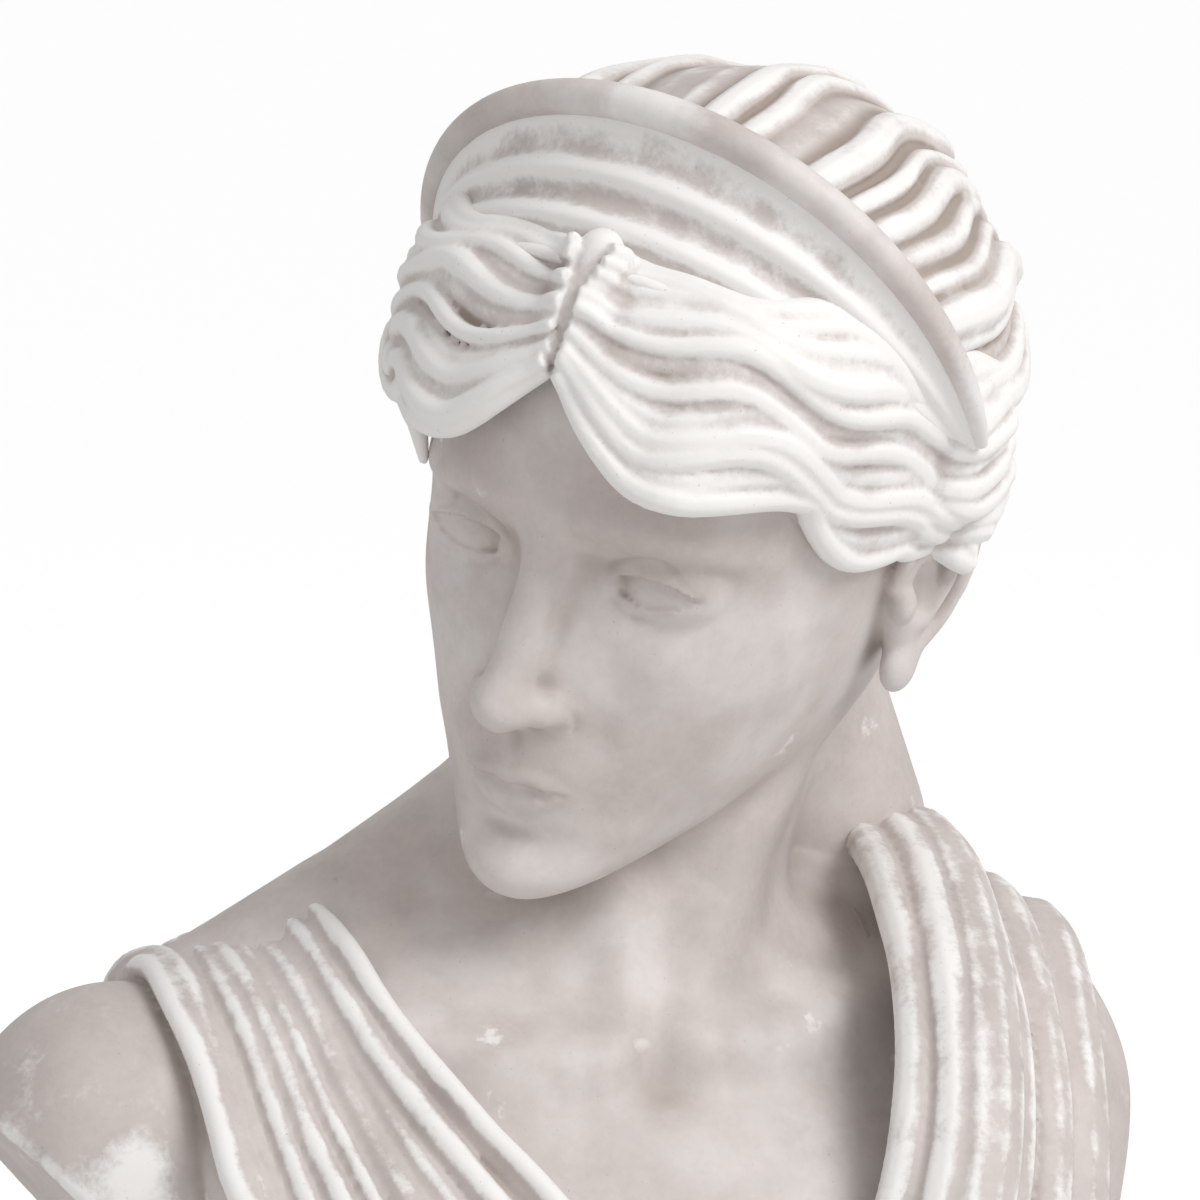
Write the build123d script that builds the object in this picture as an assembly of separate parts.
from build123d import *
import math
import os

os.makedirs("parts", exist_ok=True)

# A life-size marble portrait bust of a draped goddess on a turned socle and a square plinth.
# Sizes are millimetres. The figure faces -Y, +X is the figure's left, and the origin is the
# centre of the underside, on the axis of the rod that holds the stones together.

# Stand
plinth_side = 210.0
plinth_height = 42.0
plinth_top_round = 7.0
plinth_foot_chamfer = 1.5
cork_thickness = 3.0
cork_inset = 4.0
cork_corner = 5.0
bed_thickness = 1.5
socle_height = 130.0
socle_foot_radius = 94.0
socle_waist_radius = 50.0
socle_top_radius = 74.0
stem_radius = 62.0
stem_flare = 24.0
stem_height = 70.0

# Fixings
rod_radius = 6.0
rod_clearance = 1.0
rod_anchor_depth = 110.0
anchor_wall = 3.0
rod_end_gap = 5.0
rod_end_chamfer = 1.0
nut_recess_radius = 25.0
nut_recess_depth = 27.0
washer_radius = 22.0
washer_thickness = 3.0
washer_play = 0.5
nut_across_flats = 19.0
nut_height = 10.0
spring_washer_radius = 10.5
spring_washer_thickness = 2.6
spring_washer_play = 0.2
spring_washer_gap = 2.0
spring_washer_slant = 12.0
pin_radius = 4.0
pin_length = 36.0
pin_offset = 34.0
dowel_radius = 8.0
dowel_length = 90.0
dowel_place = (22.0, -24.0)

# Levels of the stack
plinth_z = cork_thickness
plinth_top_z = plinth_z + plinth_height
socle_z = plinth_top_z + bed_thickness
socle_top_z = socle_z + socle_height
bust_z = socle_top_z + bed_thickness

# Draped bust: levels are measured down from the centre of the head
head_centre_z = bust_z + 420.0
neck_pit_z = head_centre_z - 172.0
half_width = 194.0
opening_bottom_z = head_centre_z - 276.0
opening_corner = 9.0
breast_side = 68.0
breast_radii = (54.0, 46.0, 50.0)
cloak_inner = 94.0
cloak_width = 60.0
cloak_edge = 12.0
cloth_thickness = 6.0
joint_bed = 2.0

# Head, in its own frame: origin midway between the eyes' level and the ears, face to -Y
head_place = (30.0, -25.0, head_centre_z)
head_turn = -50.0
head_bow = 11.0
head_lean = 14.0
neck_radius = 56.0
neck_root = (10.0, 16.0, neck_pit_z - 18.0)
neck_nape = (0.0, 22.0, -52.0)

# Diadem: its ends lie beside the ears and its crown leans over the forehead
diadem_centre = (0.0, 0.0, 42.0)
diadem_lean = 30.0
diadem_rise = 110.0
diadem_half_width = 97.0
diadem_foot = 85.0
diadem_front = 43.0
diadem_back = 12.0
diadem_gap = 0.3
diadem_pin_radius = 2.5
diadem_pin_length = 24.0
diadem_pin_reach = 79.0
diadem_pin_set = 12.0
diadem_pin_spread = 24.0


def ellipsoid(centre, radii):
    """An ellipsoid with its axes along X, Y and Z."""
    return Pos(*centre) * scale(Sphere(1), by=radii)


def tube(radius, length, bottom, bore=0.0):
    """An upright round bar or sleeve that stands on the given point."""
    bar = Cylinder(radius, length, align=(Align.CENTER, Align.CENTER, Align.MIN))
    if bore:
        bar -= Cylinder(bore, length, align=(Align.CENTER, Align.CENTER, Align.MIN))
    return Pos(*bottom) * bar


def in_head(shape):
    """Carries a shape from the head's own frame to its place on the neck."""
    turn = Rot(Z=head_turn) * Rot(X=head_bow) * Rot(Y=head_lean)
    return Pos(*head_place) * turn * shape


# ---- stand -------------------------------------------------------------------------------

def pin_hole(bottom):
    return tube(pin_radius, pin_length, bottom)


def socle_pin_bottom(level):
    """The lower end of an anti-rotation pin that is half in the stone under a joint."""
    return (0.0, pin_offset, level - pin_length / 2)


def make_cork():
    side = plinth_side - 2 * cork_inset
    sheet = Box(side, side, cork_thickness, align=(Align.CENTER, Align.CENTER, Align.MIN))
    return fillet(sheet.edges().filter_by(Axis.Z), cork_corner)


def make_plinth():
    block = Pos(0, 0, plinth_z) * Box(
        plinth_side, plinth_side, plinth_height, align=(Align.CENTER, Align.CENTER, Align.MIN)
    )
    top = block.edges().group_by(Axis.Z)[-1]
    block = fillet(top, plinth_top_round)
    bottom = block.edges().group_by(Axis.Z)[0]
    block = chamfer(bottom, plinth_foot_chamfer)
    block -= tube(rod_radius + rod_clearance, plinth_height, (0, 0, plinth_z))
    block -= tube(nut_recess_radius, nut_recess_depth, (0, 0, plinth_z))
    return block - pin_hole(socle_pin_bottom(plinth_top_z + bed_thickness / 2))


def make_bed(radius, level):
    """A thin round bed between two stones, with room for the rod and the pin."""
    disc = tube(radius, bed_thickness, (0, 0, level), rod_radius + rod_clearance)
    return disc - pin_hole(socle_pin_bottom(level + bed_thickness / 2))


def make_socle():
    foot, waist, top = socle_foot_radius, socle_waist_radius, socle_top_radius
    z = socle_z
    with BuildPart() as turned:
        with BuildSketch(Plane.XZ):
            with BuildLine():
                Line((0, z), (foot - 4, z))
                ThreePointArc((foot - 4, z), (foot, z + 11), (foot - 4, z + 22))
                Line((foot - 4, z + 22), (foot - 13, z + 22))
                Line((foot - 13, z + 22), (foot - 13, z + 27))
                Spline(
                    (foot - 13, z + 27), (waist + 8, z + 48), (waist, z + 84),
                    tangents=((-0.6, 0.8), (0.05, 1)),
                )
                Line((waist, z + 84), (waist + 4, z + 84))
                ThreePointArc((waist + 4, z + 84), (waist + 8, z + 88), (waist + 4, z + 92))
                Line((waist + 4, z + 92), (waist + 1, z + 92))
                Spline(
                    (waist + 1, z + 92), (waist + 10, z + 110), (top - 4, z + 118),
                    tangents=((0, 1), (1, 0.1)),
                )
                Line((top - 4, z + 118), (top, z + 120))
                Line((top, z + 120), (top, z + 127))
                Line((top, z + 127), (top - 3, z + socle_height))
                Line((top - 3, z + socle_height), (0, z + socle_height))
                Line((0, z + socle_height), (0, z))
            make_face()
        revolve(axis=Axis.Z)
    stone = turned.part - tube(rod_radius + rod_clearance, socle_height, (0, 0, z))
    stone -= pin_hole(socle_pin_bottom(plinth_top_z + bed_thickness / 2))
    return stone - pin_hole(socle_pin_bottom(socle_top_z + bed_thickness / 2))


def make_locating_pins():
    levels = (plinth_top_z + bed_thickness / 2, socle_top_z + bed_thickness / 2)
    return Compound(children=[pin_hole(socle_pin_bottom(level)) for level in levels])


# ---- rod, nut and washers ----------------------------------------------------------------

recess_top_z = plinth_z + nut_recess_depth
rod_bottom_z = recess_top_z - washer_thickness - spring_washer_thickness - nut_height - rod_end_gap
rod_top_z = bust_z + rod_anchor_depth


def make_rod():
    rod = tube(rod_radius, rod_top_z - rod_bottom_z, (0, 0, rod_bottom_z))
    return chamfer(rod.edges().filter_by(GeomType.CIRCLE), rod_end_chamfer)


def anchor_hole():
    return tube(rod_radius + anchor_wall, rod_anchor_depth + anchor_wall, (0, 0, bust_z))


def make_rod_resin():
    return anchor_hole() - make_rod()


def make_plate_washer():
    return tube(
        washer_radius, washer_thickness,
        (0, 0, recess_top_z - washer_thickness), rod_radius + washer_play,
    )


def make_spring_washer():
    bottom = recess_top_z - washer_thickness - spring_washer_thickness
    ring = tube(spring_washer_radius, spring_washer_thickness, (0, 0, bottom), rod_radius + spring_washer_play)
    gap = Box(spring_washer_gap, spring_washer_radius, 3 * spring_washer_thickness)
    place = Pos(0, -spring_washer_radius / 2 - spring_washer_gap, bottom)
    return ring - place * Rot(Y=spring_washer_slant) * gap


def make_nut():
    bottom = recess_top_z - washer_thickness - spring_washer_thickness - nut_height
    hexagon = extrude(
        RegularPolygon(nut_across_flats / 2, 6, major_radius=False), nut_height
    )
    corner = nut_across_flats / math.sqrt(3)
    rounded = Cone(
        corner + nut_height, corner - 1.2, nut_height,
        align=(Align.CENTER, Align.CENTER, Align.MIN),
    )
    nut = hexagon & rounded
    return Pos(0, 0, bottom) * nut - tube(rod_radius, nut_height, (0, 0, bottom))


# ---- draped bust -------------------------------------------------------------------------

def trunk_sections(inset):
    """Upright outlines from the right arm's cut to the left: chest in front, back behind."""
    outline = [
        (182, 0), (215, -66), (262, -85), (335, -96), (388, -88), (424, -64), (458, -38),
        (486, 8), (462, 66), (424, 86), (365, 95), (300, 90), (240, 76),
    ]
    low_z, high_z = outline[0][0], outline[7][0]
    middle_z = (low_z + high_z) / 2
    rows = [
        (0, -2, 1.0, 182, 486), (52, 0, 0.97, 190, 478), (104, 4, 0.80, 222, 464),
        (146, 8, 0.57, 266, 450), (176, 8, 0.43, 310, 430), (half_width, 6, 0.30, 344, 410),
    ]
    rows = [(-x, *row) for x, *row in reversed(rows[1:])] + rows
    faces = []
    for x, y_centre, depth, low, high in rows:
        span = (high - low - 2 * inset) / (high_z - low_z)
        points = []
        for z, y in outline:
            share = 1 - inset / (95 * depth)
            points.append((x, y_centre + y * depth * share, (low + high) / 2 + (z - middle_z) * span))
        faces.append(make_face(Spline(*points, periodic=True)))
    return faces


def trunk(inset=0.0):
    """The chest, shoulders and arm stumps; inset takes it in from the cloth to the skin."""
    chest = loft(Sketch() + trunk_sections(inset))
    for side in (-1, 1):
        radii = tuple(radius - inset for radius in breast_radii)
        chest += ellipsoid((side * breast_side, -62, bust_z + 160), radii)
    return chest


def neck(grow=0.0):
    """The neck leans from the pit of the throat to the base of the skull."""
    root = Vector(*neck_root)
    nape = in_head(Pos(*neck_nape)).position
    axis = (nape - root).normalized()
    length = (nape - root).length + 14
    bar = Cone(
        neck_radius + 7 + grow, neck_radius - 3 + grow, length + grow,
        align=(Align.CENTER, Align.CENTER, Align.MIN),
    )
    return Plane(origin=root - axis * grow, z_dir=axis).location * bar


def breast_opening(grow=0.0):
    """The opening of the dress: a deep V that leans to the figure's left, cut straight back."""
    z = head_centre_z
    corners = [
        (-80, z - 100), (-80, z - 132), (-70, z - 156), (-33, z - 207), (12, opening_bottom_z),
        (34, opening_bottom_z), (66, z - 217), (84, z - 188), (97, z - 162), (97, z - 100),
    ]
    outline = Polygon(*corners, align=None)
    outline = fillet(outline.vertices().group_by(Axis.Y)[0], opening_corner)
    if grow:
        outline = offset(outline, grow)
    front = Plane(origin=(0, -170, 0), x_dir=(1, 0, 0), z_dir=(0, -1, 0))
    return extrude(front * outline, -192)


def cloak():
    """The folded cloak: a thick band over the left shoulder, down the breast and the back."""
    z = bust_z
    with BuildSketch(Plane.YZ.offset(cloak_inner)) as band:
        with BuildLine():
            Spline(
                (-88, z + 84), (-107, z + 160), (-88, z + 240), (4, z + 302),
                (74, z + 250), (94, z + 150), (78, z + 84),
            )
            Line((78, z + 84), (-88, z + 84))
        make_face()
    arch = extrude(band.sketch, cloak_width)
    return fillet(arch.edges().filter_by(Axis.X, reverse=True), cloak_edge)


def make_draped_bust():
    body = trunk() + cloak()
    body += Pos(0, 0, bust_z) * Cone(
        stem_radius, stem_radius + stem_flare, stem_height, align=(Align.CENTER, Align.CENTER, Align.MIN)
    )
    body -= breast_opening(joint_bed) + neck(joint_bed)
    body -= anchor_hole()
    body -= pin_hole(socle_pin_bottom(socle_top_z + bed_thickness / 2))
    return body - make_dowel()


def make_dowel():
    """The stainless dowel that stands in the draped bust and enters the head block."""
    return tube(dowel_radius, dowel_length, (*dowel_place, opening_bottom_z - 50))


def make_joint_bed():
    bed = trunk(cloth_thickness) & (breast_opening(joint_bed) + neck(joint_bed))
    bed -= breast_opening() + neck()
    return bed - make_dowel()


# ---- head --------------------------------------------------------------------------------

def skull():
    sections = [
        (-112, -76, 16, 12), (-104, -66, 32, 30), (-78, -48, 48, 50), (-44, -26, 62, 74),
        (0, -4, 74, 90), (44, 2, 78, 96), (80, 6, 66, 80), (104, 8, 42, 50),
    ]
    faces = [Pos(0, y, z) * Ellipse(a, b) for z, y, a, b in sections]
    return loft(Sketch() + faces)


def make_hair_and_face():
    head = skull()
    nose = Polygon((-92, 8), (-119, -38), (-112, -47), (-80, -47), align=None)
    head += extrude(Plane.YZ * nose, 11, both=True)
    cap = ellipsoid((0, 12, 42), (92, 104, 92))
    face_front = Pos(0, -96, -12) * Rot(X=-16) * Box(240, 128, 150)
    head += cap - face_front
    for side in (-1, 1):
        head += ellipsoid((side * 24, -84, 68), (32, 20, 14))
        head += ellipsoid((side * 60, -44, 44), (31, 44, 26))
    head += ellipsoid((2, 112, 36), (50, 38, 46))
    return head


def diadem_section(turn, grow):
    """One section of the crescent: front foot, rim and back foot, in a plane through its centre."""
    lean = math.radians(diadem_lean)
    up = Vector(0, -math.sin(lean), math.cos(lean))
    front = Vector(0, -math.cos(lean), -math.sin(lean))
    share = math.sin(turn) ** 0.8
    outward = Vector(1, 0, 0) * math.cos(turn) + up * math.sin(turn)
    rim = diadem_half_width + (diadem_rise - diadem_half_width) * math.sin(turn) ** 2
    foot = diadem_foot - grow
    corners = [
        (foot, diadem_front * share + 2 * grow), (rim + grow, grow),
        (rim + grow, -6.0 * share - 1 - grow), (foot, -diadem_back * share - grow),
    ]
    centre = Vector(*diadem_centre)
    points = [centre + outward * reach + front * forward for reach, forward in corners]
    return make_face(Polyline(*points, close=True))


def diadem_blank(grow=0.0):
    """A crescent that stands on the hair from ear to ear, tallest over the forehead."""
    turns = [math.radians(angle) for angle in range(6, 180, 14)]
    return loft([diadem_section(turn, grow) for turn in turns], ruled=True)


def make_diadem():
    return in_head(diadem_blank()) - make_diadem_pins()


def diadem_pin(side):
    """A pin through the crescent's foot into the head, square to the hair."""
    seat = Pos(*diadem_centre) * Rot(X=diadem_lean) * Rot(Y=side * diadem_pin_spread)
    middle = Pos(0, -diadem_pin_set, diadem_pin_reach)
    return seat * middle * Cylinder(diadem_pin_radius, diadem_pin_length)


def make_diadem_pins():
    return Compound(children=[in_head(diadem_pin(side)) for side in (-1, 1)])


def make_head():
    block = in_head(make_hair_and_face()) + neck()
    block += trunk(cloth_thickness) & breast_opening()
    block -= in_head(diadem_blank(diadem_gap))
    block -= make_diadem_pins()
    return block - make_dowel()


sub_parts = {
    "cork_base": make_cork,
    "plinth": make_plinth,
    "plinth_bed": lambda: make_bed(socle_foot_radius - 8, plinth_top_z),
    "socle": make_socle,
    "bust_bed": lambda: make_bed(stem_radius - 4, socle_top_z),
    "locating_pins": make_locating_pins,
    "mount_rod": make_rod,
    "rod_resin": make_rod_resin,
    "plate_washer": make_plate_washer,
    "spring_washer": make_spring_washer,
    "hex_nut": make_nut,
    "draped_bust": make_draped_bust,
    "head_dowel": make_dowel,
    "head_bed": make_joint_bed,
    "head": make_head,
    "diadem": make_diadem,
    "diadem_pins": make_diadem_pins,
}

for node, make in sub_parts.items():
    export_step(make(), f"parts/{node}.step")
    print(node)
